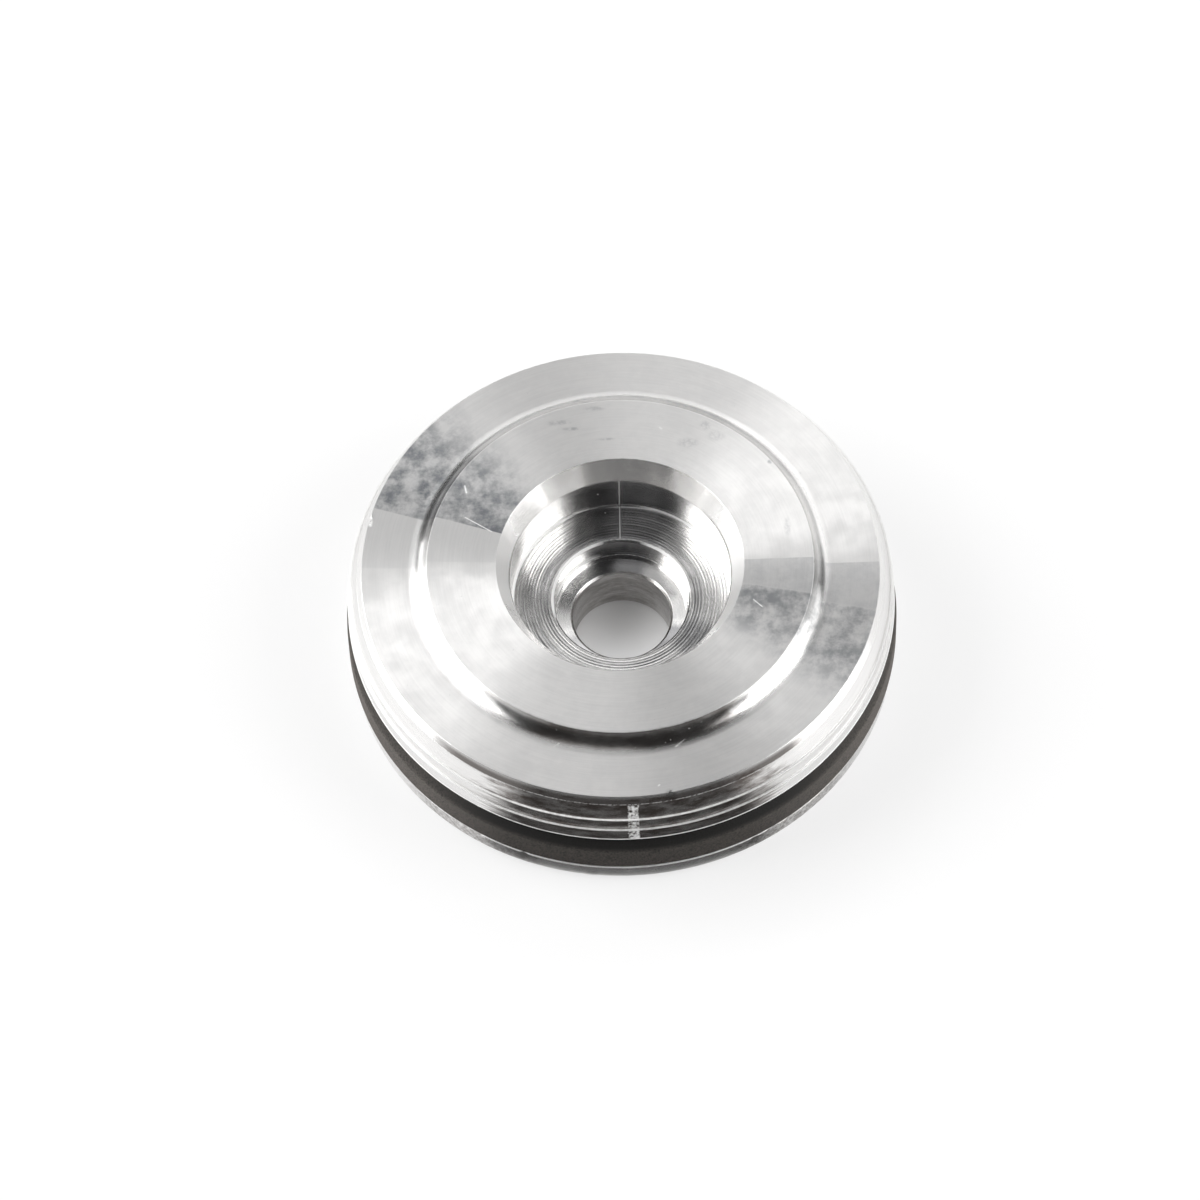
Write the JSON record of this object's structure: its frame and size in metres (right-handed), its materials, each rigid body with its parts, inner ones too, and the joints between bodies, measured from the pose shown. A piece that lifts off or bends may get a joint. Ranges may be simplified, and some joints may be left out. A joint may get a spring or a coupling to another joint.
{
  "type": "turned disc with seal ring",
  "caption": "Round turned metal disc with a raised boss, a stepped counterbored centre hole, ledged rim lands and a rubber ring seated in its outer groove.",
  "frame": {"origin": "centre of the underside, on the turning axis", "axes": "+Z along the turning axis, from the underside to the boss face"},
  "size_m": [0.0604, 0.0604, 0.017],
  "materials": {
    "turned_metal": "bright turned, fine circular tool marks",
    "rubber": "matt black rubber, slightly dusty"
  },
  "bodies": {
    "root": {"turned_body": "turned_metal", "seal_ring": "rubber"}
  },
  "joints": []
}
